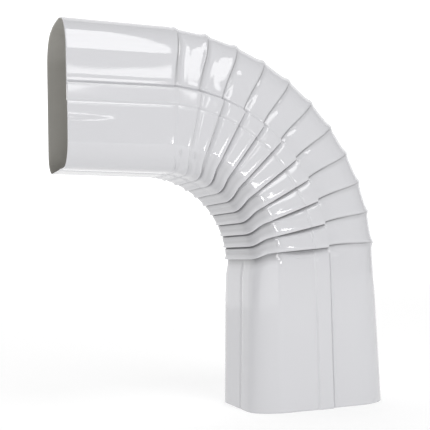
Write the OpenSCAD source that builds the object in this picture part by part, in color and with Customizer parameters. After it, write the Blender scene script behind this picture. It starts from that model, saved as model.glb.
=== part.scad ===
// Pleated gutter elbow: one painted sheet, rolled to a rectangular tube, closed by a
// flat lock seam along one wide side, and bent by folding Z-shaped pleats into it.
// The mouth of the outlet leg is centred on the origin and opens downwards.
// The bend lies in the XZ plane: the inlet arm points to -X, the seam is on the -Y side.

/* [Section] */
// Size of the tube across the bend, from the inner wall to the outer wall
section_w = 82.6; // [70:0.1:110]
// Size of the tube along Y, over its flat sides
section_d = 60.3; // [52:0.1:90]
// Thickness of the painted sheet
sheet_t = 0.5; // [0.4:0.05:0.6]
// Radius of the two long edges along the inner wall
inner_corner_r = 13.5; // [8:0.5:16]
// Radius of the two long edges along the outer wall
outer_corner_r = 15.5; // [8:0.5:18]
// Reach of the soft edge between the seam side and the outer wall, along the seam side
soft_corner_a = 19.5; // [15.5:0.5:22]
// Reach of the bevelled edge between the seam side and the inner wall, along the seam side
bevel_a = 15.5; // [13.5:0.5:17]
// Height of the soft arch of the outer wall
outer_crown = 1.3; // [0:0.1:3]

/* [Bend] */
// Angle between the two straight legs
bend_angle = 90; // [60:1:95]
// Number of pleats
pleat_count = 11; // [8:1:12]
// Radius of the inner wall about the centre of the bend
inner_bend_r = 49.8; // [43:0.1:70]
// Length of the outlet leg below the centre of the bend
outlet_len = 83.6; // [50:0.1:140]
// Length of the inlet arm beyond the centre of the bend
inlet_len = 53.4; // [40:0.1:140]

/* [Pleats] */
// Height from one layer of a fold to the next along the inner wall
layer_inner = 0.68; // [0.65:0.01:0.9]
// Height from one layer of a fold to the next half way up a wide side
layer_side = 1.05; // [0.65:0.01:1.3]
// How far the lips sweep towards the outlet across the inner wall
lip_sweep = 2.4; // [0:0.1:3]
// How far the creases jump back towards the inlet beyond the seam
seam_jump = 1.1; // [0:0.1:1.5]
// Height of the ridge above each crease beyond the seam
ridge_h = 0.9; // [0.4:0.05:1.2]
// Depth of the outer wall between two creases
wall_hollow = 0.9; // [0:0.05:1.5]

/* [Seam] */
// Distance from the inner wall to the sharp edge of the lock seam
seam_at = 44.3; // [40:0.1:50]
// Width of the lock seam
seam_w = 9; // [6:0.5:11]
// Step down from the lock seam to the wall on the outer side of the bend
seam_step = 1.9; // [1:0.1:2.4]
// How far the lock seam stands proud on the inner side of the bend
seam_proud = 0.5; // [0:0.1:0.8]

/* [Mouths] */
// Flare of the outer wall at the outlet mouth
outlet_flare_outer = 2.1; // [0:0.1:4]
// Flare of the inner wall at the outlet mouth
outlet_flare_inner = 2.9; // [0:0.1:4]
// Flare of the outer wall at the inlet mouth
inlet_flare_outer = 1; // [0:0.1:3]
// Taper of the inner wall at the inlet mouth
inlet_taper_inner = 1.3; // [0:0.1:3]

/* [Hidden] */

half_d = section_d / 2;
crease_angle = bend_angle / pleat_count;
half_crease = crease_angle / 2;
bend_centre = [-(inner_bend_r + section_w / 2), 0, outlet_len];

// Folds that are only soft grooves, counted from the inlet: 1 is quite open, 0 is pressed flat
soft_folds = [1, 0.9, 0.45];
// Places of the rings along a panel between two creases, as shares of its length
panel_low = 0.3;
panel_high = 0.72;
// An opened crease: places along the flow in mm, and how far below the ridge each one lies
ridge_s = [-2.4, -0.7, 0, 1.3];
ridge_drop = [-0.03, -0.4, -1, -0.82];
wall_drop = [-0.25, 0, -0.1, -0.45];
// Drop of the middle of a panel below the ridges, from its start to its end
open_start = -0.82;
open_end = 0;
// A pressed panel makes late_rise of its height evenly, and the rest within its first part
late_rise = 0.14;
early_share = 0.46;
// Length of the neck where the outlet leg leaves the last pleat, on the wide sides and,
// as a multiple of that, on the inner wall
neck_len = 4.4;
neck_stretch = 2.5;
// Rings of the outlet leg: how far below the last crease, and at which share of the leg
leg_stations = [[1.6, 0], [neck_len, 0], [neck_stretch * neck_len, 0], [0, 0.5], [0, 1]];
// Depth and half width of the bead line pressed along the inner wall
bead_depth = 0.6;
bead_half = 1.6;
// Where the bead line lies, from the middle of the inner wall
bead_y = -6;
// Steps of each rounded long edge
corner_steps = 4;

function mix(p, q, t) = p + (q - p) * t;
function clamp01(t) = max(0, min(1, t));
function ramp(lo, hi, v) = let(t = clamp01((v - lo) / (hi - lo))) t * t * (3 - 2 * t);
// A quarter ellipse of radii ra and rb, with the outward direction at each point
function arc(ca, cb, ra, rb, start) =
    [for (i = [0:corner_steps])
        let(f = start + 90 * i / corner_steps, n = [cos(f) / ra, sin(f) / rb], len = norm(n))
        [ca + ra * cos(f), cb + rb * sin(f), n[0] / len, n[1] / len]];

// Outline of the outside of the tube. Each point holds its distance from the inner wall,
// its place along Y, and the two parts of its outward direction.
seam_lo = seam_at - seam_w;
step_y = -half_d + seam_step;
wall_a = section_w - outer_crown;
near_span = wall_a - soft_corner_a - seam_at;
far_span = wall_a - outer_corner_r - inner_corner_r;
crown_half = half_d - outer_corner_r;
near_inner = [for (a = [bevel_a + 5, (bevel_a + seam_lo) / 2 + 3, seam_lo])
    [a, -half_d + seam_proud, 0, -1]];
near_band = [for (a = [seam_lo + 1.2, seam_at - 3.5, seam_at]) [a, -half_d, 0, -1]];
near_outer = [for (s = [0.01, 0.36, 0.7]) [seam_at + s * near_span, step_y, 0, -1]];
outer_arch = [for (y = [step_y + outer_corner_r + 5, 0, half_d - outer_corner_r - 5])
    [wall_a + outer_crown * (1 - pow(y / crown_half, 2) * 0.55), y, 1, 0]];
far_face = [for (s = [1:4])
    [wall_a - outer_corner_r - far_span * s / 5, half_d, 0, 1]];
inner_wall = [
    [0, half_d - inner_corner_r - 6, -1, 0],
    [0, bead_y + bead_half, -1, 0],
    [bead_depth, bead_y, -1, 0],
    [0, bead_y - bead_half, -1, 0]];
outline = concat(
    near_inner,
    near_band,
    near_outer,
    arc(wall_a - soft_corner_a, step_y + outer_corner_r, soft_corner_a, outer_corner_r, -90),
    outer_arch,
    arc(wall_a - outer_corner_r, half_d - outer_corner_r, outer_corner_r, outer_corner_r, 0),
    far_face,
    arc(inner_corner_r, half_d - inner_corner_r, inner_corner_r, inner_corner_r, 90),
    inner_wall,
    arc(bevel_a, -half_d + seam_proud + inner_corner_r, bevel_a, inner_corner_r, 180));
around = len(outline);

// The outline for the inside of the sheet, which each ring then sinks by the sheet's thickness.
// At the seam's sharp edge the sheet turns, so its inside point moves sideways too.
function at_step(p) = p[3] == -1 && p[0] >= seam_at && p[0] <= seam_at + 0.02 * near_span;
inside_outline = [for (p = outline) [p[0] - (at_step(p) ? sheet_t : 0), p[1], p[2], p[3]]];
function sink(inside) = inside ? sheet_t : 0;

// Directions along the tube, towards the outlet, and out from the centre of the bend
function out_dir(angle) = [cos(angle), 0, sin(angle)];
function flow_dir(angle) = [sin(angle), 0, -cos(angle)];
function crease_at(k) = crease_angle * (pleat_count + 0.5 - k);
function panel_at(k) = crease_angle * (pleat_count - k);
function bend_r(p) = inner_bend_r + p[0];
function pitch(p) = 2 * bend_r(p) * tan(half_crease);

// A point of panel k, reached from crease c: s along the flow, h out from the wall
function place(p, k, c, s, h) =
    bend_centre + out_dir(crease_at(c)) * bend_r(p) / cos(half_crease) + [0, p[1], 0]
    + flow_dir(panel_at(k)) * s + (out_dir(panel_at(k)) * p[2] + [0, p[3], 0]) * h;

// Which part of the section a point is on, each from 0 to 1
function on_inner_wall(p) = ramp(0.35, 1, -p[2]);
function beyond_seam(p) = p[3] < -0.5 ? ramp(seam_at, seam_at + 1, p[0]) : 0;
function openness(p) =
    p[3] < -0.5
    ? (p[0] <= seam_at ? 0 : mix(0.3, 1, ramp(seam_at, section_w - outer_corner_r - 4, p[0])))
    : ramp(section_w * 0.5, section_w * 0.82, p[0]);
function softness(p, k) =
    k <= len(soft_folds) ? soft_folds[k - 1] * mix(1, 0.55, on_inner_wall(p)) : 0;
function unfolded(p, k) = max(openness(p), softness(p, k));

// Length that a fold swallows twice, so that every panel is as long as on the outer wall
function tuck(p, k) =
    (section_w - p[0]) * tan(half_crease) * clamp01(1 - 4 * unfolded(p, k));
function layer(p) =
    mix(layer_side, layer_inner, max(on_inner_wall(p), ramp(20, 8, p[0])))
    * mix(1, 0.85, ramp(seam_at - 12, seam_at, p[0]));
function slope(p) = 2 * late_rise * layer(p) / pitch(p);
function crease_shift(p) =
    lip_sweep * on_inner_wall(p)
    - seam_jump * beyond_seam(p) * (1 - ramp(seam_at + 4, section_w - 8, p[0]));

// Corners of a fold as [s, h] from its crease, for the outside and the inside of the sheet:
// top and underside of the lip, then the two corners of the hidden bend
function folded(p, k, j, inside) =
    let(d = layer(p), t = sheet_t, l = tuck(p, k), drop = slope(p) * l)
    j == 0 ? (inside ? [-t, -t] : [0, 0])
    : j == 1 ? (inside ? [-t, -d] : [0, -d - t])
    : j == 2 ? (inside ? [-l - t - 0.01, -d - drop] : [-l - 0.01, -d - t - drop])
    : (inside ? [-l - t, -2 * d - t - drop] : [-l, -2 * d - drop]);
// The same corners where the fold has opened out: each panel rolls over to a ridge, drops, and
// the next one starts below it. Heights are shares of ridge_h, or of wall_hollow on the outer wall.
function opened(p, j, inside) =
    let(wall = ramp(0.3, 1, p[2]),
        h = mix(ridge_drop[j] * ridge_h, wall_drop[j] * wall_hollow, wall))
    [ridge_s[j], h - sink(inside)];
function fold_corner(p, k, j, inside) =
    let(q = mix(folded(p, k, j, inside), opened(p, j, inside), unfolded(p, k)))
    [q[0] + crease_shift(p), q[1]];

// Depth of a pressed panel below the lips: it rises early, then runs nearly flat to its own lip
function shingle_drop(p, share) =
    2 * layer(p) * (late_rise * (1 - share) + (1 - late_rise) * (1 - ramp(0, early_share, share)));

// Height of a panel between creases k and k + 1, at a share of its length
function panel_h(p, k, share, inside) =
    let(fold_h = -shingle_drop(p, share),
        wall = ramp(0.3, 1, p[2]),
        open_h = mix(mix(open_start, open_end, share) * ridge_h, -wall_hollow, wall),
        u = mix(unfolded(p, k), unfolded(p, k + 1), share))
    mix(fold_h, open_h, u) - sink(inside);

// The wall behind the seam is four layers thick in the straight legs
function lock_depth(p, share) =
    p[3] == -1 && p[0] > seam_lo && p[0] < seam_at ? -(seam_step - sheet_t * 0.2) * share : 0;
function flare(p, outer, inner) = outer * max(0, p[2]) + inner * max(0, -p[2]);

function arm_ring(share, inside) =
    [for (i = [0:around - 1])
        let(p = inside ? inside_outline[i] : outline[i],
            from = -inlet_len - bend_r(p) * tan(half_crease),
            to = -6,
            h = mix(flare(p, inlet_flare_outer, -inlet_taper_inner), 0, share)
                + (inside ? lock_depth(p, clamp01(1.2 - share * 1.2)) : 0) - sink(inside))
        place(p, 0, 1, mix(from, to, share), h)];
function leg_end(p) = outlet_len + bend_r(p) * tan(half_crease);
function neck_drop(p, s) =
    let(len = neck_len * mix(1, neck_stretch, on_inner_wall(p)),
        open_drop = mix(-(open_start + open_end) / 2 * ridge_h, wall_hollow, ramp(0.3, 1, p[2])))
    mix(2 * layer(p) * (1 - ramp(0, len, s)), open_drop * pow(1 - s / leg_end(p), 1.5),
        unfolded(p, pleat_count));
// A ring of the outlet leg: a distance from the last crease, and a share of the leg's length
function leg_ring(station, inside) =
    [for (i = [0:around - 1])
        let(p = inside ? inside_outline[i] : outline[i],
            s = station[0] + station[1] * leg_end(p),
            share = s / leg_end(p),
            h = flare(p, outlet_flare_outer, outlet_flare_inner) * share - neck_drop(p, s)
                + (inside ? lock_depth(p, clamp01(share * 1.2 - 0.2)) : 0) - sink(inside))
        place(p, pleat_count, pleat_count, s + crease_shift(p) * (1 - share), h)];
function fold_ring(k, j, inside) =
    [for (i = [0:around - 1])
        let(p = inside ? inside_outline[i] : outline[i], q = fold_corner(p, k, j, inside))
        place(p, j < 3 ? k - 1 : k, k, q[0], q[1])];
function panel_ring(k, share, inside) =
    [for (i = [0:around - 1])
        let(p = inside ? inside_outline[i] : outline[i])
        place(p, k, k, share * pitch(p) + crease_shift(p), panel_h(p, k, share, inside))];

function rings(inside) = concat(
    [for (share = [0, 0.5, 1]) arm_ring(share, inside)],
    [for (k = [1:pleat_count]) each concat(
        [for (j = [0:3]) fold_ring(k, j, inside)],
        k < pleat_count ? [for (s = [panel_low, panel_high]) panel_ring(k, s, inside)] : [])],
    [for (station = leg_stations) leg_ring(station, inside)]);

outside_rings = rings(false);
inside_rings = rings(true);
along = len(outside_rings);
side_count = along * around;

function at(side, ring, i) = side * side_count + ring * around + (i % around);
function quad(p, q, r, s) = [[p, q, r], [p, r, s]];
wall_faces = [for (ring = [0:along - 2]) for (i = [0:around - 1]) each concat(
    quad(at(0, ring, i), at(0, ring, i + 1), at(0, ring + 1, i + 1), at(0, ring + 1, i)),
    quad(at(1, ring, i), at(1, ring + 1, i), at(1, ring + 1, i + 1), at(1, ring, i + 1)))];
rim_faces = [for (i = [0:around - 1]) each concat(
    quad(at(0, 0, i), at(1, 0, i), at(1, 0, i + 1), at(0, 0, i + 1)),
    quad(at(0, along - 1, i), at(0, along - 1, i + 1), at(1, along - 1, i + 1), at(1, along - 1, i)))];

module elbow() {
    color("gainsboro")
        polyhedron(
            points = concat([for (r = outside_rings) each r], [for (r = inside_rings) each r]),
            faces = concat(wall_faces, rim_faces),
            convexity = 12);
}

elbow();
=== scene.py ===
import math
import bpy
import numpy as np
from mathutils import Matrix


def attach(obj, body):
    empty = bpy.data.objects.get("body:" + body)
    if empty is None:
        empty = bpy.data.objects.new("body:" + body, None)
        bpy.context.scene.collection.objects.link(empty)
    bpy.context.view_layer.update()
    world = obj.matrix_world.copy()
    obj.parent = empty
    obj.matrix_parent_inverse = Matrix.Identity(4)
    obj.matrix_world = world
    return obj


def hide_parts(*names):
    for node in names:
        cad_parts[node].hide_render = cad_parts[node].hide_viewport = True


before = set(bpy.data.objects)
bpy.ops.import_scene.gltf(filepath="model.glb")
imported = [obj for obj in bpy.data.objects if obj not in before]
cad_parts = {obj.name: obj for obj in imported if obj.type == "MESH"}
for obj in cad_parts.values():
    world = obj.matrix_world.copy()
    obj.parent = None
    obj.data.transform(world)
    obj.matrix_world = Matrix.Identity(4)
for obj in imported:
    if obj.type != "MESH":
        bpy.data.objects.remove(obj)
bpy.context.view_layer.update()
print("frame loaded")

mm = 0.001


def linearColour(hexText):
    parts = [int(hexText[i:i + 2], 16) / 255 for i in (1, 3, 5)]
    return [c / 12.92 if c <= 0.04045 else ((c + 0.055) / 1.055) ** 2.4 for c in parts] + [1.0]


def addNode(tree, kind, settings=None, inputs=None):
    node = tree.nodes.new(kind)
    for name, value in (settings or {}).items():
        setattr(node, name, value)
    for socket, source in (inputs or {}).items():
        if isinstance(source, bpy.types.NodeSocket):
            tree.links.new(source, node.inputs[socket])
        else:
            node.inputs[socket].default_value = source
    return node


# Baked enamel: a smooth gloss polyester coat on aluminium. It gives crisp white window
# reflections over an even light grey, with a very faint orange peel. The foldShade attribute
# mixes its base colour towards near black: painted shade in the fold gaps, on the inner band
# and along the opened creases.
def makeBakedEnamel():
    material = bpy.data.materials.new("bakedEnamel")
    material.use_nodes = True
    tree = material.node_tree
    shader = tree.nodes["Principled BSDF"]
    shader.inputs["Roughness"].default_value = 0.05
    shader.inputs["IOR"].default_value = 1.5
    place = addNode(tree, "ShaderNodeTexCoord")
    paintedFoldShade = addNode(tree, "ShaderNodeAttribute", {"attribute_name": "foldShade"})
    # Painted shade: foldShade darkens the enamel towards #1c1b1a where folds and creases lie in shade.
    tint = addNode(tree, "ShaderNodeMix", {"data_type": "RGBA"}, {
        "Factor": paintedFoldShade.outputs["Fac"],
        6: linearColour("#d0d0d3"),
        7: linearColour("#1c1b1a")})
    tree.links.new(tint.outputs[2], shader.inputs["Base Color"])
    peel = addNode(tree, "ShaderNodeTexNoise", None, {
        "Vector": place.outputs["Object"], "Scale": 1 / (9 * mm), "Detail": 2.0})
    bump = addNode(tree, "ShaderNodeBump", None, {
        "Height": peel.outputs["Fac"], "Strength": 0.02, "Distance": 0.1 * mm})
    tree.links.new(bump.outputs["Normal"], shader.inputs["Normal"])
    return material


# Wash coat: the thin grey primer on the back of coil-coated sheet. It is dull and a little
# uneven, so the duct reads as a darker, flatter grey than the outside.
def makeWashCoat():
    material = bpy.data.materials.new("washCoat")
    material.use_nodes = True
    tree = material.node_tree
    shader = tree.nodes["Principled BSDF"]
    shader.inputs["Roughness"].default_value = 0.55
    place = addNode(tree, "ShaderNodeTexCoord")
    cloud = addNode(tree, "ShaderNodeTexNoise", None, {
        "Vector": place.outputs["Object"], "Scale": 1 / (22 * mm), "Detail": 4.0})
    tint = addNode(tree, "ShaderNodeMix", {"data_type": "RGBA"}, {
        "Factor": cloud.outputs["Fac"],
        6: linearColour("#adaba4"),
        7: linearColour("#c4c2bd")})
    tree.links.new(tint.outputs[2], shader.inputs["Base Color"])
    return material


bakedEnamel = makeBakedEnamel()
washCoat = makeWashCoat()
print("materials made")


# Sizes of the elbow in millimetres and degrees. The outlet mouth is centred on the origin.
elbow = {
    "sectionWidth": 82.6,
    "sectionDepth": 60.3,
    "sheet": 0.5,
    "innerCorner": 13.5,
    "outerCorner": 15.5,
    "softCorner": 19.5,
    "bevelReach": 15.5,
    "outerCrown": 1.3,
    "bendAngle": 90.0,
    "pleatCount": 11,
    "innerBendRadius": 49.8,
    "outletLength": 83.6,
    "inletLength": 53.4,
    "layerInner": 0.68,
    "layerSide": 1.05,
    "lipSweep": 2.4,
    "lipRound": 0.35,
    "toothLift": 1.7,
    "panelLean": 1.5,
    "dimpleDepth": 1.1,
    "lateRise": 0.14,
    "earlyShare": 0.22,
    "seamJump": 1.1,
    "ridgeHeight": 0.9,
    "ridgeRoll": 2.4,
    "wallHollow": 0.9,
    "seamAt": 44.3,
    "seamWidth": 9.0,
    "seamStep": 1.9,
    "seamProud": 0.5,
    "outletFlareOuter": 2.1,
    "outletFlareInner": 2.9,
    "inletFlareOuter": 1.0,
    "inletTaperInner": 1.3,
    "beadAt": -6.0,
    "beadDepth": 0.6,
    "gapLift": 1.0,
    "softFolds": 3,
}
halfDepth = elbow["sectionDepth"] / 2
creaseAngle = elbow["bendAngle"] / elbow["pleatCount"]
halfCrease = math.radians(creaseAngle / 2)
bendCentre = np.array([-(elbow["innerBendRadius"] + elbow["sectionWidth"] / 2), 0, elbow["outletLength"]])
seamLow = elbow["seamAt"] - elbow["seamWidth"]


def ramp(low, high, value):
    t = np.clip((value - low) / (high - low), 0, 1)
    return t * t * (3 - 2 * t)


def mix(p, q, t):
    return p + (q - p) * t


def cornerRows(centreA, centreY, radiusA, radiusY, startAngle, steps=11):
    turn = np.radians(startAngle + 90 * np.arange(steps + 1) / steps)
    a = centreA + radiusA * np.cos(turn)
    y = centreY + radiusY * np.sin(turn)
    out = np.stack([np.cos(turn) / radiusA, np.sin(turn) / radiusY], 1)
    out = out / np.linalg.norm(out, axis=1)[:, None]
    return np.concatenate([np.stack([a, y], 1), out], 1)


# The near edge along the inner wall was pressed to a bevel: a tight bend where the bevel
# leaves the wide side, then an even curve. It runs from the inner wall to the wide side.
def bevelRows(reachA, topY, reachY):
    along = np.array([0, 1.6, 3.2, 4.8, 6.2, 7.6, 9, 10.4, 11.8, 13, 14, 14.7, 15.2, 15.6, 16, 16.4, 16.8, 17.2, 17.8])
    turn = np.radians(90 - 58 * ramp(-1, 12.5, along) - 10 * ramp(9, 15, along) - 22 * ramp(14.6, 17.4, along)
                      + 58 * ramp(-1, 12.5, 0))
    turn = turn - turn[-1]
    turn = turn * math.radians(90) / turn[0]
    halves = (turn[1:] + turn[:-1]) / 2
    a = np.concatenate([[0], np.cumsum(np.cos(halves) * np.diff(along))])
    y = np.concatenate([[0], np.cumsum(-np.sin(halves) * np.diff(along))])
    a, y = a / a[-1] * reachA, topY + y / -y[-1] * reachY
    return np.stack([a, y, -np.sin(turn), -np.cos(turn)], 1)


def flatRows(a, y, outA, outY):
    a, y = np.broadcast_arrays(np.asarray(a, float), np.asarray(y, float))
    return np.stack([a, y, np.full(a.shape, outA), np.full(a.shape, outY)], 1)


# The outline of the tube: distance from the inner wall, place along Y, outward direction.
def sectionRows():
    wallA = elbow["sectionWidth"] - elbow["outerCrown"]
    ri, ro = elbow["innerCorner"], elbow["outerCorner"]
    seamAt, proud = elbow["seamAt"], elbow["seamProud"]
    stepY = -halfDepth + elbow["seamStep"]
    step = elbow["seamStep"]
    nearInner = np.linspace(elbow["bevelReach"] + 1, seamLow - 2.2, 11)
    band = np.array([-1.5, -1.1, -0.8, -0.5, -0.2, 0.1, 0.4, 0.7, 1, 1.4, 2.4, 3.6, 5, 6.4, 7.6, 8.4])
    groove = 0.2 * np.exp(-((band + 0.45) / 0.5) ** 2)
    edge = [(-0.25, 0.03), (-0.05, 0.2), (0.0, 0.5), (-0.04, 1.1), (0.0, step + 0.1), (0.3, step + 0.45),
            (0.75, step + 0.4), (1.1, step + 0.05), (1.4, step - 0.3), (1.75, step - 0.36), (2.2, step - 0.22),
            (2.7, step - 0.05)]
    nearOuter = np.linspace(seamAt + 3.2, wallA - elbow["softCorner"], 8)[:-1]
    archY = np.linspace(stepY + ro, halfDepth - ro, 12)[1:-1]
    arch = wallA + elbow["outerCrown"] * (1 - (2 * archY / (2 * halfDepth - 2 * ro)) ** 2 * 0.55)
    farA = np.linspace(wallA - ro, ri, 22)[1:-1]
    bead = elbow["beadAt"]
    innerY = np.array([halfDepth - ri - 3, 9, 4, 0, bead + 3, bead + 1.6, bead + 0.7, bead, bead - 0.7,
                       bead - 1.6, bead - 3, -halfDepth + proud + ri + 2])
    innerA = elbow["beadDepth"] * np.exp(-((innerY - bead) / 1.0) ** 2)
    return np.concatenate([
        flatRows(nearInner, -halfDepth + proud, 0, -1),
        flatRows(seamLow + band, -halfDepth + proud * (1 - ramp(-0.5, 1, band)) + groove, 0, -1),
        np.concatenate([flatRows([seamAt + da], [-halfDepth + dy], 0, -1) for da, dy in edge]),
        flatRows(nearOuter, stepY, 0, -1),
        cornerRows(wallA - elbow["softCorner"], stepY + ro, elbow["softCorner"], ro, -90),
        flatRows(arch, archY, 1, 0),
        cornerRows(wallA - ro, halfDepth - ro, ro, ro, 0),
        flatRows(farA, halfDepth, 0, 1),
        cornerRows(ri, halfDepth - ri, ri, ri, 90),
        flatRows(innerA, innerY, -1, 0),
        bevelRows(elbow["bevelReach"], -halfDepth + proud + ri, ri)])


outerRows = sectionRows()
atSeamEdge = (outerRows[:, 3] == -1) & (np.abs(outerRows[:, 0] - elbow["seamAt"]) < 0.35)
innerRows = outerRows.copy()
innerRows[:, 0] -= elbow["sheet"] * atSeamEdge
around = len(outerRows)
onInnerWall = ramp(0.35, 1, -outerRows[:, 2])
onOuterWall = ramp(0.3, 1, outerRows[:, 2])
onNearSide = outerRows[:, 3] < -0.5
beyondSeam = np.where(onNearSide, ramp(elbow["seamAt"], elbow["seamAt"] + 1, outerRows[:, 0]), 0)
openness = np.where(
    onNearSide,
    np.where(outerRows[:, 0] <= elbow["seamAt"] + 0.1, 0,
             mix(0.3, 1, ramp(elbow["seamAt"], elbow["sectionWidth"] - elbow["outerCorner"] - 4, outerRows[:, 0]))),
    ramp(elbow["sectionWidth"] * 0.5, elbow["sectionWidth"] * 0.82, outerRows[:, 0]))
layer = (mix(elbow["layerSide"], elbow["layerInner"], np.maximum(onInnerWall, ramp(20, 8, outerRows[:, 0])))
         * mix(1, 0.85, ramp(elbow["seamAt"] - 12, elbow["seamAt"], outerRows[:, 0])))
creaseShift = (elbow["lipSweep"] * onInnerWall
               - elbow["seamJump"] * beyondSeam
               * (1 - ramp(elbow["seamAt"] + 4, elbow["sectionWidth"] - 8, outerRows[:, 0])))
openMid = mix(0.41 * elbow["ridgeHeight"], elbow["wallHollow"], onOuterWall)
restMid = mix(0.14 * layer, openMid, openness)


def bendRadius(rows):
    return elbow["innerBendRadius"] + rows[:, 0]


def pitch(rows):
    return 2 * bendRadius(rows) * math.tan(halfCrease)


# Depth of a pressed panel below the lips, at a share of the way from its start to its own lip
def shingleDrop(share):
    late = elbow["lateRise"]
    return 2 * layer * (late * (1 - share) + (1 - late) * (1 - ramp(0, elbow["earlyShare"], share)))


# Heights of an opened-out crease: the wall rises to a ridge, rolls over and drops, and starts again below.
def openedHeight(rows, s, mid):
    reach = pitch(rows) / 2
    ridge = elbow["ridgeHeight"] * mid / openMid
    roll = elbow["ridgeRoll"]
    rising = -mid + (mid - 0.03 * ridge) * np.clip((s + reach) / (reach - roll), 0, 1) ** 0.8
    rolling = -0.03 * ridge - 0.97 * ridge * np.clip(1 + s / roll, 0, 1) ** 2.2
    after = -ridge + 0.2 * ridge * ramp(0, 1.4, s) + (0.8 * ridge - mid) * ramp(0, 1, s / reach)
    side = np.where(s < -roll, rising, np.where(s < 0, rolling, after))
    wall = -elbow["wallHollow"] * (1 - np.exp(-((s + 0.7) / 1.9) ** 2))
    return mix(side, wall, onOuterWall)


# One pleat as [s, h] nodes from its crease: along the flow, and out from the wall.
# The last value of each node says which side of the crease its panel lies on.
def pleatPath(rows, inside, opening, endMid):
    p, d, t = pitch(rows), layer, elbow["sheet"]
    cut = t if inside else 0
    slope = 0.28 * d / p
    lead = np.minimum(2.6, 0.38 * p)
    lipRadius = (d + t) / 2
    foldRadius = (d - t) / 2
    tuck = (elbow["sectionWidth"] - rows[:, 0]) * math.tan(halfCrease) * np.clip(1 - 4 * opening, 0, 1)
    tuck = np.maximum(tuck, lipRadius + 0.05)
    rounding = elbow["lipRound"] - (elbow["lipRound"] + elbow["toothLift"]) * onInnerWall
    lipTop = -shingleDrop(1 - lipRadius / p) - rounding * (1 - lipRadius / lead) ** 2
    lipMid = lipTop - lipRadius
    foldMid = -d - t - slope * tuck - foldRadius
    folded, side = [], []
    for x in (0, 0.35, 0.7, 1):
        s = -p / 2 + (p / 2 - lead) * x
        folded.append((s, -shingleDrop(1 + s / p) - cut))
        side.append(-1)
    for x in (0.35, 0.65):
        s = mix(-lead, -lipRadius, x)
        folded.append((s, -shingleDrop(1 + s / p) - rounding * (1 + s / lead) ** 2 - cut))
        side.append(-1)
    for turn in np.radians(np.linspace(90, -90, 7)):
        folded.append((-lipRadius + (lipRadius - cut) * math.cos(turn), lipMid + (lipRadius - cut) * math.sin(turn)))
        side.append(-1)
    for x in (0.35, 0.75):
        folded.append((mix(-lipRadius, -tuck, x),
                       mix(lipMid - lipRadius + cut, foldMid + foldRadius + cut, x)))
        side.append(-1)
    for turn, which in ((90, -1), (180, 0), (270, 1)):
        turn = math.radians(turn)
        folded.append((-tuck + (foldRadius + cut) * math.cos(turn), foldMid + (foldRadius + cut) * math.sin(turn)))
        side.append(which)
    for s in (-0.5 * tuck, 0 * tuck, *(p / 2 * x for x in (0.06, 0.13, 0.2, 0.28, 0.36, 0.5, 0.75, 1))):
        folded.append((s, np.where(s > 0, -shingleDrop(s / p), -2 * d + slope * s) - cut))
        side.append(1)
    spread = [mix(-p / 2, -2.5, x) for x in (0, 0.35, 0.7, 1)]
    spread += [np.full(around, v) for v in (-2.1, -1.7, -1.35, -1.05, -0.8, -0.58, -0.38, -0.22, -0.1,
                                            -0.03, 0.02, 0.1, 0.25, 0.5, 0.8, 1.2)]
    spread += [mix(1.5, p / 2, x) for x in (0.05, 0.12, 0.22, 0.34, 0.48, 0.64, 0.82, 1)]
    nodes = []
    for (s, h), openS in zip(folded, spread):
        openH = openedHeight(rows, openS, endMid) - cut
        nodes.append((mix(s, openS, opening), mix(h, openH, opening)))
    return nodes, side


# Puts a node of every row in space. The push moves it only away from the centre of the bend.
def placeNode(rows, centre, creaseTurn, side, s, h, push=None):
    def direction(turn):
        out = np.array([math.cos(turn), 0, math.sin(turn)])
        flow = np.array([math.sin(turn), 0, -math.cos(turn)])
        return out, flow
    creaseOut, _ = direction(creaseTurn)
    points = centre + np.outer(bendRadius(rows) / math.cos(halfCrease), creaseOut)
    points[:, 1] += rows[:, 1]
    total = np.zeros_like(points)
    sides = (side,) if side else (-1, 1)
    for one in sides:
        out, flow = direction(creaseTurn - one * halfCrease)
        normal = np.outer(rows[:, 2], out)
        normal[:, 1] += rows[:, 3]
        total += points + np.outer(s + creaseShift, flow) + normal * h[:, None]
        if push is not None:
            total += np.outer(push, out)
    return total / len(sides)


def sweepPath(rows, nodes, sides, centre=np.zeros(3), creaseTurn=0.0):
    return np.concatenate([placeNode(rows, centre, creaseTurn, side, s, h)
                           for (s, h), side in zip(nodes, sides)])


def wallQuads(rings, first, inside):
    ring, i = np.meshgrid(np.arange(rings - 1), np.arange(around), indexing="ij")
    here = first + ring * around + i
    beside = first + ring * around + (i + 1) % around
    quads = np.stack([here, here + around, beside + around, beside], -1).reshape(-1, 4)
    return quads[:, ::-1] if inside else quads


def makeMesh(name, points, quads, values):
    mesh = bpy.data.meshes.new(name)
    mesh.from_pydata((points * mm).tolist(), [], quads.tolist())
    for key, data in values.items():
        if data.ndim == 2:
            mesh.attributes.new(key, "FLOAT_VECTOR", "POINT").data.foreach_set("vector", (data * mm).ravel())
        elif key == "insideFace":
            mesh.attributes.new(key, "BOOLEAN", "FACE").data.foreach_set("value", data)
        else:
            mesh.attributes.new(key, "FLOAT", "POINT").data.foreach_set("value", data)
    return mesh


# Depth of the outlet leg where it comes out from under the last lip
def neckDrop(s):
    return 2 * layer * (1 - ramp(0.1, mix(4.4, 11, onInnerWall), s))


# Move that presses the step beside the seam out to a soft slope, and the bead line flat
def seamPress(rows):
    move = np.zeros((around, 3))
    slope = -halfDepth + elbow["seamStep"] * ramp(elbow["seamAt"] - 3, elbow["seamAt"] + 8, outerRows[:, 0])
    here = onNearSide & (outerRows[:, 0] > elbow["seamAt"] - 6) & (outerRows[:, 3] == -1)
    move[:, 1] = np.where(here, slope - outerRows[:, 1], 0)
    move[:, 0] = np.where(outerRows[:, 2] == -1, -outerRows[:, 0], 0)
    return move
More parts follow.
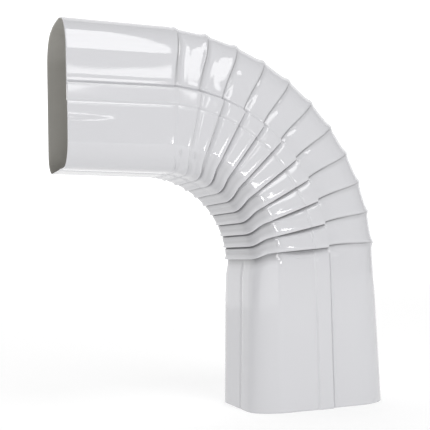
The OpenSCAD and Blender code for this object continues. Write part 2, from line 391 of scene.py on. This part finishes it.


# One pleat, pressed flat, with the moves that turn it into its neighbours' forms and the painted shade of its folds and
# creases.
def makePleat():
    softOpening = np.maximum(openness, mix(1, 0.55, onInnerWall))
    softMid = 0.14 * layer + (openMid - 0.14 * layer) * openness / np.maximum(softOpening, 0.01)
    parts, soft, head, neck, lift, seam, lean, flow, shade, line, quads, insideFlags = ([] for _ in range(12))
    first = 0
    for inside in (False, True):
        rows = innerRows if inside else outerRows
        nodes, sides = pleatPath(rows, inside, openness, openMid)
        softNodes, _ = pleatPath(rows, inside, softOpening, softMid)
        points = sweepPath(rows, nodes, sides)
        p = pitch(rows)
        headNodes, neckNodes, liftNodes, leanNodes = [], [], [], []
        leanDepth = np.interp(rows[:, 0], [45, 66, 77], [0, elbow["panelLean"], 0]) * onNearSide
        nearBevel = elbow["dimpleDepth"] * np.exp(-((rows[:, 0] - 9) / 1.5) ** 2) * (rows[:, 3] < -0.2)
        bump = ramp(12, 30, rows[:, 0]) * ramp(48, 40, rows[:, 0]) * (np.abs(rows[:, 3]) > 0.9)
        upward = np.where(onNearSide & (rows[:, 0] < seamLow), 0.45, 0) * bump
        for index, (s, h) in enumerate(softNodes):
            flat = ramp(-1.5, -3.5, s) if index < 6 else 0 * s
            headNodes.append((s, h + flat * (0 - h - (elbow["sheet"] if inside else 0))))
        for index, (s, h) in enumerate(nodes):
            neckH = mix(-neckDrop(s) - (elbow["sheet"] if inside else 0), h, openness)
            neckNodes.append((s, np.where(s > 0, neckH, h) if index > 18 else h))
            rise = upward * ramp(-p / 2, -0.8, s) if index < 15 else -elbow["gapLift"] * bump * ramp(p / 2, p * 0.1, s)
            liftNodes.append((s, h + rise))
            dimple = nearBevel * np.exp(-((s - 1.6) / 0.9) ** 2)
            leanNodes.append((s, h - leanDepth * (1 - np.exp(-(s / 1.7) ** 2)) - dimple))
        parts.append(points)
        softPoints = sweepPath(rows, softNodes, sides)
        soft.append(softPoints - points)
        head.append(sweepPath(rows, headNodes, sides) - softPoints)
        neck.append(sweepPath(rows, neckNodes, sides) - points)
        lift.append(sweepPath(rows, liftNodes, sides) - points)
        lean.append(sweepPath(rows, leanNodes, sides) - points)
        seam.append(np.tile(seamPress(rows), (len(nodes), 1)))
        flow.append(np.concatenate([np.clip(s / p, -0.5, 0.5) for s, h in nodes]))
        # Painted shade for foldShade: darkest on the lips' undersides, in the folds and on the tucked start of the next
        # panel, where the gaps lie in shade, softer over the inner band, none on the inside sheet, and fading out where
        # the creases open.
        paintedShade, lined = [], []
        # The band by the inner wall, on the near side and the inner wall, gets a softer painted shade.
        innerBand = ramp(17, 10, rows[:, 0]) * np.where(onNearSide | (rows[:, 2] < -0.35), 1, 0)
        for index, (s, h) in enumerate(nodes):
            # lineShade: a painted dark line along each opened crease on the outside, none on the outer wall.
            crease = np.exp(-((s + 0.35) / 0.4) ** 2) + 0.35 * np.exp(-((s - 0.6) / 1.2) ** 2)
            lined.append(0.4 * crease * openness * (1 - onOuterWall) * (0 if inside else 1))
            if inside:
                paintedShade.append(0 * s)
            elif index < 10:
                paintedShade.append(0.25 * innerBand * ramp(0, -p / 2, s))
            elif index < 18:
                paintedShade.append(ramp(9, 12, index) * (1 - 0.8 * innerBand))
            else:
                paintedShade.append(np.maximum(ramp(1.0, -0.4, s) * (1 - 0.8 * innerBand),
                                         (0.2 + 0.25 * ramp(0.45 * p, 0, s)) * innerBand))
        shade.append(np.concatenate(paintedShade) * np.tile(1 - openness, len(nodes)))
        line.append(np.concatenate(lined))
        quads.append(wallQuads(len(nodes), first, inside))
        insideFlags.append(np.full(len(quads[-1]), inside))
        first += len(points)
    return makeMesh("pleatMesh", np.concatenate(parts), np.concatenate(quads), {
        "softMove": np.concatenate(soft), "headMove": np.concatenate(head), "neckMove": np.concatenate(neck),
        "liftMove": np.concatenate(lift), "seamMove": np.concatenate(seam), "leanMove": np.concatenate(lean),
        "flowPlace": np.concatenate(flow),
        "foldShade": np.concatenate(shade), "lineShade": np.concatenate(line),
        "insideFace": np.concatenate(insideFlags)})


# The inlet arm and the outlet leg, each from its rim to the middle of its nearest panel.
def makeLegs():
    parts, shade, quads, insideFlags = [], [], [], []
    first = 0
    rims = {}
    for leg in ("arm", "outlet"):
        for inside in (False, True):
            rows = innerRows if inside else outerRows
            cut = elbow["sheet"] if inside else 0
            p = pitch(rows)
            reach = bendRadius(rows) * math.tan(halfCrease)
            outerOut, innerOut = np.maximum(0, rows[:, 2]), np.maximum(0, -rows[:, 2])
            inBand = (rows[:, 3] == -1) & (rows[:, 0] > seamLow) & (rows[:, 0] < elbow["seamAt"] - 0.5)
            rings = []
            for share in (0, 0.01, 0.12, 0.3, 0.5, 0.7, 0.82, 0.9, 0.94, 0.97, 1):
                if leg == "arm":
                    rim = -elbow["inletLength"] - reach - creaseShift
                    s = mix(rim, -p / 2, share)
                    flare = elbow["inletFlareOuter"] * outerOut ** 2 + elbow["inletTaperInner"] * innerOut ** 2
                    h = 0 * s
                    crease, side = math.radians(elbow["bendAngle"]) - halfCrease, -1
                else:
                    rim = elbow["outletLength"] + reach - creaseShift
                    s = mix(rim, p / 2, share)
                    flare = elbow["outletFlareOuter"] * outerOut ** 2 - elbow["outletFlareInner"] * innerOut ** 2
                    h = -mix(neckDrop(s), openMid * share ** 1.5, openness)
                    crease, side = halfCrease, 1
                h = h - cut
                if leg == "arm":
                    streak = np.exp(-((rows[:, 0] - 24.4) / 1.7) ** 2) * (rows[:, 3] == -1)
                    h = h + 0.4 * streak * ramp(0.5, 0.1, share)
                if inside:
                    h = h - inBand * (elbow["seamStep"] - 0.1) * ramp(1, 0.85, share)
                rings.append(placeNode(rows, bendCentre, crease, side, s, h, flare * (1 - share)))
            if leg == "outlet":
                rings = rings[::-1]
            parts.append(np.concatenate(rings))
            shade.append(np.zeros(len(parts[-1])))
            quads.append(wallQuads(len(rings), first, inside))
            insideFlags.append(np.full(len(quads[-1]), inside))
            rims[(leg, inside)] = first + (0 if leg == "arm" else (len(rings) - 1) * around)
            first += len(parts[-1])
        i = np.arange(around)
        outer, inner = rims[(leg, False)], rims[(leg, True)]
        rimQuads = np.stack([outer + i, outer + (i + 1) % around, inner + (i + 1) % around, inner + i], -1)
        quads.append(rimQuads if leg == "arm" else rimQuads[:, ::-1])
        insideFlags.append(np.full(around, False))
    points = np.concatenate(parts)
    still = np.zeros_like(points)
    return makeMesh("legMesh", points, np.concatenate(quads), {
        "softMove": still, "headMove": still, "neckMove": still, "liftMove": still, "seamMove": still,
        "leanMove": still,
        "flowPlace": np.zeros(len(points)), "lineShade": np.zeros(len(points)),
        "foldShade": np.concatenate(shade), "insideFace": np.concatenate(insideFlags)})


# The tree turns copies of the pleat about the bend, opens the first ones, and welds on the legs.
def makeElbowTree():
    tree = bpy.data.node_groups.new("elbowTree", "GeometryNodeTree")
    sockets = {}
    tree.interface.new_socket("Geometry", in_out="INPUT", socket_type="NodeSocketGeometry")
    for name, kind in (("Legs", "NodeSocketObject"), ("Pleats", "NodeSocketInt"), ("Crease angle", "NodeSocketFloat"),
                       ("Bend centre", "NodeSocketVector"), ("Soft pleats", "NodeSocketFloat"),
                       ("Dent depth", "NodeSocketFloat"), ("Seed", "NodeSocketInt")):
        sockets[name] = tree.interface.new_socket(name, in_out="INPUT", socket_type=kind).identifier
    tree.interface.new_socket("Geometry", in_out="OUTPUT", socket_type="NodeSocketGeometry")
    given = addNode(tree, "NodeGroupInput").outputs
    index = addNode(tree, "GeometryNodeInputIndex").outputs[0]
    fromOutlet = addNode(tree, "ShaderNodeMath", {"operation": "SUBTRACT"}, {0: given["Pleats"], 1: index}).outputs[0]
    middle = addNode(tree, "ShaderNodeMath", {"operation": "SUBTRACT"}, {0: fromOutlet, 1: 0.5}).outputs[0]
    turn = addNode(tree, "ShaderNodeMath", {"operation": "MULTIPLY"}, {0: middle, 1: given["Crease angle"]}).outputs[0]
    turnBack = addNode(tree, "ShaderNodeMath", {"operation": "MULTIPLY"}, {0: turn, 1: -1.0}).outputs[0]
    turnVector = addNode(tree, "ShaderNodeCombineXYZ", None, {1: turnBack}).outputs[0]
    line = addNode(tree, "GeometryNodeMeshLine", None, {"Count": given["Pleats"], "Start Location": given["Bend centre"],
                                                        "Offset": (0, 0, 0)}).outputs[0]
    copies = addNode(tree, "GeometryNodeInstanceOnPoints", None, {
        "Points": line, "Instance": given["Geometry"], "Rotation": turnVector}).outputs[0]
    numbered = addNode(tree, "GeometryNodeStoreNamedAttribute", {"data_type": "FLOAT", "domain": "INSTANCE"}, {
        "Geometry": copies, "Name": "pleatNumber", "Value": index}).outputs[0]
    turned = addNode(tree, "GeometryNodeStoreNamedAttribute", {"data_type": "FLOAT", "domain": "INSTANCE"}, {
        "Geometry": numbered, "Name": "pleatTurn", "Value": turnBack}).outputs[0]
    real = addNode(tree, "GeometryNodeRealizeInstances", None, {"Geometry": turned}).outputs[0]
    number = addNode(tree, "GeometryNodeInputNamedAttribute", {"data_type": "FLOAT"}, {"Name": "pleatNumber"}).outputs[0]
    turnOf = addNode(tree, "GeometryNodeInputNamedAttribute", {"data_type": "FLOAT"}, {"Name": "pleatTurn"}).outputs[0]
    softness = addNode(tree, "ShaderNodeMapRange", {"interpolation_type": "SMOOTHSTEP"}, {
        "Value": number, "From Min": given["Soft pleats"], "From Max": 0.2, "To Min": 0.0, "To Max": 1.0}).outputs[0]
    isFirst = addNode(tree, "ShaderNodeMath", {"operation": "LESS_THAN"}, {0: number, 1: 0.5}).outputs[0]
    lastNumber = addNode(tree, "ShaderNodeMath", {"operation": "SUBTRACT"}, {0: given["Pleats"], 1: 1.5}).outputs[0]
    isLast = addNode(tree, "ShaderNodeMath", {"operation": "GREATER_THAN"}, {0: number, 1: lastNumber}).outputs[0]
    opening = addNode(tree, "ShaderNodeMapRange", None, {
        "Value": number, "From Min": 2.0, "From Max": 9.0, "To Min": 0.0, "To Max": 1.0}).outputs[0]
    # Painted shade: foldShade fades out on the first, soft pleats and grows in strength from pleat 1 to pleat 6. The
    # painted crease lines of lineShade are then added.
    closed = addNode(tree, "ShaderNodeMath", {"operation": "SUBTRACT"}, {0: 1.0, 1: softness}).outputs[0]
    shade = addNode(tree, "GeometryNodeInputNamedAttribute", {"data_type": "FLOAT"}, {"Name": "foldShade"}).outputs[0]
    lineShade = addNode(tree, "GeometryNodeInputNamedAttribute", {"data_type": "FLOAT"}, {"Name": "lineShade"}).outputs[0]
    gapShadeStrength = addNode(tree, "ShaderNodeMapRange", None, {
        "Value": number, "From Min": 1.0, "From Max": 6.0, "To Min": 0.35, "To Max": 1.0}).outputs[0]
    shadeClosed = addNode(tree, "ShaderNodeMath", {"operation": "MULTIPLY"}, {0: shade, 1: closed}).outputs[0]
    shadeLeft = addNode(tree, "ShaderNodeMath", {"operation": "MULTIPLY_ADD"}, {
        0: shadeClosed, 1: gapShadeStrength, 2: lineShade}).outputs[0]
    moved = addNode(tree, "GeometryNodeStoreNamedAttribute", {"data_type": "FLOAT", "domain": "POINT"}, {
        "Geometry": real, "Name": "foldShade", "Value": shadeLeft}).outputs[0]
    flowPlace = addNode(tree, "GeometryNodeInputNamedAttribute", {"data_type": "FLOAT"}, {"Name": "flowPlace"}).outputs[0]
    station = addNode(tree, "ShaderNodeMath", {"operation": "ADD"}, {0: number, 1: flowPlace}).outputs[0]
    fadeIn = addNode(tree, "ShaderNodeMapRange", {"interpolation_type": "SMOOTHSTEP"}, {
        "Value": station, "From Min": 0.3, "From Max": 5.5}).outputs[0]
    fadeOut = addNode(tree, "ShaderNodeMapRange", {"interpolation_type": "SMOOTHSTEP"}, {
        "Value": station, "From Min": 10.5, "From Max": 10.1}).outputs[0]
    pressed = addNode(tree, "ShaderNodeMath", {"operation": "MULTIPLY"}, {0: fadeIn, 1: fadeOut}).outputs[0]
    leanIn = addNode(tree, "ShaderNodeMapRange", {"interpolation_type": "SMOOTHSTEP"}, {
        "Value": station, "From Min": 0.0, "From Max": 0.2}).outputs[0]
    leanOut = addNode(tree, "ShaderNodeMapRange", {"interpolation_type": "SMOOTHSTEP"}, {
        "Value": station, "From Min": 2.5, "From Max": 1.2}).outputs[0]
    leaning = addNode(tree, "ShaderNodeMath", {"operation": "MULTIPLY"}, {0: leanIn, 1: leanOut}).outputs[0]
    for name, amount in (("softMove", softness), ("headMove", isFirst), ("neckMove", isLast), ("liftMove", opening),
                         ("seamMove", pressed), ("leanMove", leaning)):
        move = addNode(tree, "GeometryNodeInputNamedAttribute", {"data_type": "FLOAT_VECTOR"}, {"Name": name}).outputs[0]
        aligned = addNode(tree, "ShaderNodeVectorRotate", {"rotation_type": "Y_AXIS"}, {
            "Vector": move, "Angle": turnOf}).outputs[0]
        scaled = addNode(tree, "ShaderNodeVectorMath", {"operation": "SCALE"}, {0: aligned, "Scale": amount}).outputs[0]
        moved = addNode(tree, "GeometryNodeSetPosition", None, {"Geometry": moved, "Offset": scaled}).outputs[0]
    legs = addNode(tree, "GeometryNodeObjectInfo", None, {"Object": given["Legs"]}).outputs["Geometry"]
    joined = addNode(tree, "GeometryNodeJoinGeometry")
    for part in (moved, legs):
        tree.links.new(part, joined.inputs[0])
    welded = addNode(tree, "GeometryNodeMergeByDistance", None, {
        "Geometry": joined.outputs[0], "Distance": 0.012 * mm}).outputs[0]
    spot = addNode(tree, "GeometryNodeInputPosition").outputs[0]
    noise = addNode(tree, "ShaderNodeTexNoise", {"noise_dimensions": "4D"}, {
        "Vector": spot, "W": given["Seed"], "Scale": 1 / (26 * mm), "Detail": 1.0}).outputs[0]
    depth = addNode(tree, "ShaderNodeMath", {"operation": "MULTIPLY"}, {0: noise, 1: given["Dent depth"]}).outputs[0]
    acrossOnly = addNode(tree, "ShaderNodeVectorMath", {"operation": "MULTIPLY"}, {0: spot, 1: (0, -1, 0)}).outputs[0]
    dent = addNode(tree, "ShaderNodeVectorMath", {"operation": "SCALE"}, {0: acrossOnly, "Scale": depth}).outputs[0]
    dented = addNode(tree, "GeometryNodeSetPosition", None, {"Geometry": welded, "Offset": dent}).outputs[0]
    smooth = addNode(tree, "GeometryNodeSetShadeSmooth", None, {"Geometry": dented}).outputs[0]
    final = addNode(tree, "GeometryNodeRealizeInstances", None, {"Geometry": smooth}).outputs[0]
    isInside = addNode(tree, "GeometryNodeInputNamedAttribute", {"data_type": "BOOLEAN"}, {"Name": "insideFace"}).outputs[0]
    coated = addNode(tree, "GeometryNodeSetMaterial", None, {"Geometry": final, "Material": bakedEnamel}).outputs[0]
    lined = addNode(tree, "GeometryNodeSetMaterial", None, {
        "Geometry": coated, "Selection": isInside, "Material": washCoat}).outputs[0]
    addNode(tree, "NodeGroupOutput", None, {0: lined})
    return tree, sockets


def makeElbow():
    scene = bpy.context.scene
    legObject = bpy.data.objects.new("legSource", makeLegs())
    pleatObject = bpy.data.objects.new("pleatSource", makePleat())
    for source in (legObject, pleatObject):
        scene.collection.objects.link(source)
    tree, sockets = makeElbowTree()
    modifier = pleatObject.modifiers.new("elbowTree", "NODES")
    modifier.node_group = tree
    modifier[sockets["Legs"]] = legObject
    modifier[sockets["Pleats"]] = elbow["pleatCount"]
    modifier[sockets["Crease angle"]] = math.radians(creaseAngle)
    modifier[sockets["Bend centre"]] = (bendCentre * mm).tolist()
    modifier[sockets["Soft pleats"]] = float(elbow["softFolds"])
    modifier[sockets["Dent depth"]] = 0.014
    modifier[sockets["Seed"]] = 4
    graph = bpy.context.evaluated_depsgraph_get()
    mesh = bpy.data.meshes.new_from_object(pleatObject.evaluated_get(graph), depsgraph=graph)
    mesh.name = "pleatedElbow"
    piece = bpy.data.objects.new("pleatedElbow", mesh)
    scene.collection.objects.link(piece)
    for source in (legObject, pleatObject):
        bpy.data.objects.remove(source)
    print("elbow made:", len(mesh.vertices), "points", sum(len(f.vertices) - 2 for f in mesh.polygons), "triangles")
    return piece


pleatedElbow = makeElbow()
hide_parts("elbow")
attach(pleatedElbow, "root")


# The camera stands a little to the left of the seam side, level with the bend.
camera = {
    "place": (-226.04, -455.12, 88.43),
    "yaw": 0.3605,
    "pitch": 0.0457,
    "roll": -0.0243,
    "focalPixels": 844.6,
    "framePixels": 430,
}


def axesMatrix(right, up, back, place):
    return Matrix([[right[i], up[i], back[i], place[i]] for i in range(3)] + [[0, 0, 0, 1]])


def makeCamera():
    data = bpy.data.cameras.new("photoCamera")
    data.sensor_width = 36
    data.lens = data.sensor_width * camera["focalPixels"] / camera["framePixels"]
    data.clip_start, data.clip_end = 0.01, 50
    yaw, tilt, roll = camera["yaw"], camera["pitch"], camera["roll"]
    forward = np.array([math.sin(yaw) * math.cos(tilt), math.cos(yaw) * math.cos(tilt), math.sin(tilt)])
    level = np.array([math.cos(yaw), -math.sin(yaw), 0])
    upright = np.cross(level, forward)
    right = level * math.cos(roll) + upright * math.sin(roll)
    up = upright * math.cos(roll) - level * math.sin(roll)
    holder = bpy.data.objects.new("photoCamera", data)
    bpy.context.scene.collection.objects.link(holder)
    holder.matrix_world = axesMatrix(right, up, -forward, np.array(camera["place"]) * mm)
    bpy.context.scene.camera = holder


makeCamera()

# Studio: a white floor under a white sky, and soft boxes. Each box stands at an angle from the
# seam side towards +X, at a height angle, and shows a width and a height in degrees.
studio = {
    "floorSize": 8.0,
    "floorColour": "#a8a8a8",
    "skyColour": "#ffffff",
    "skyStrength": 0.3,
    "backdropAt": 1.4,
    "backdropGlow": 1.05,
    "floorGlow": 0.62,
    "aim": (-0.09, -0.03, 0.17),
    "boxes": {
        "upperBox": {"turn": 9.5, "rise": 45, "distance": 1.3, "wide": 19, "tall": 48, "radiance": 5.5},
        "slitBox": {"turn": 9.5, "rise": 12.4, "distance": 1.3, "wide": 19, "tall": 1.6, "radiance": 5.5},
        "strokeBox": {"turn": 22, "rise": 2, "distance": 0.95, "wide": 6.2, "tall": 7.5, "radiance": 14.0},
        "fillCard": {"turn": -32, "rise": -4, "distance": 1.2, "wide": 60, "tall": 30, "radiance": 1.1},
    },
}


def makeStage(name, corners, glow):
    mesh = bpy.data.meshes.new(name)
    mesh.from_pydata(corners, [], [(0, 1, 2, 3)])
    sheet = bpy.data.objects.new(name, mesh)
    bpy.context.scene.collection.objects.link(sheet)
    material = bpy.data.materials.new(name + "Paper")
    material.use_nodes = True
    shader = material.node_tree.nodes["Principled BSDF"]
    shader.inputs["Base Color"].default_value = linearColour(studio["floorColour"])
    shader.inputs["Roughness"].default_value = 0.9
    shader.inputs["Emission Color"].default_value = linearColour("#ffffff")
    shader.inputs["Emission Strength"].default_value = glow
    mesh.materials.append(material)


def makeSoftBox(name, box):
    turn, rise = math.radians(box["turn"]), math.radians(box["rise"])
    away = np.array([math.sin(turn) * math.cos(rise), -math.cos(turn) * math.cos(rise), math.sin(rise)])
    data = bpy.data.lights.new(name, "AREA")
    data.shape = "RECTANGLE"
    data.size = 2 * box["distance"] * math.tan(math.radians(box["wide"] / 2))
    data.size_y = 2 * box["distance"] * math.tan(math.radians(box["tall"] / 2))
    data.energy = box["radiance"] * math.pi * data.size * data.size_y
    light = bpy.data.objects.new(name, data)
    bpy.context.scene.collection.objects.link(light)
    side = np.cross((0, 0, 1), away)
    side = side / np.linalg.norm(side)
    place = np.array(studio["aim"]) + away * box["distance"]
    light.matrix_world = axesMatrix(side, np.cross(away, side), away, place)


half, back = studio["floorSize"] / 2, studio["backdropAt"]
makeStage("floor", [(-half, -half, 0), (half, -half, 0), (half, back, 0), (-half, back, 0)],
          studio["floorGlow"])
makeStage("backdrop", [(-half, back, 0), (half, back, 0), (half, back, half), (-half, back, half)],
          studio["backdropGlow"])
sky = bpy.data.worlds.new("studioSky")
sky.use_nodes = True
sky.node_tree.nodes["Background"].inputs["Color"].default_value = linearColour(studio["skyColour"])
sky.node_tree.nodes["Background"].inputs["Strength"].default_value = studio["skyStrength"]
bpy.context.scene.world = sky
bpy.context.scene.view_settings.view_transform = "Standard"
for name, box in studio["boxes"].items():
    makeSoftBox(name, box)
print("studio lit")
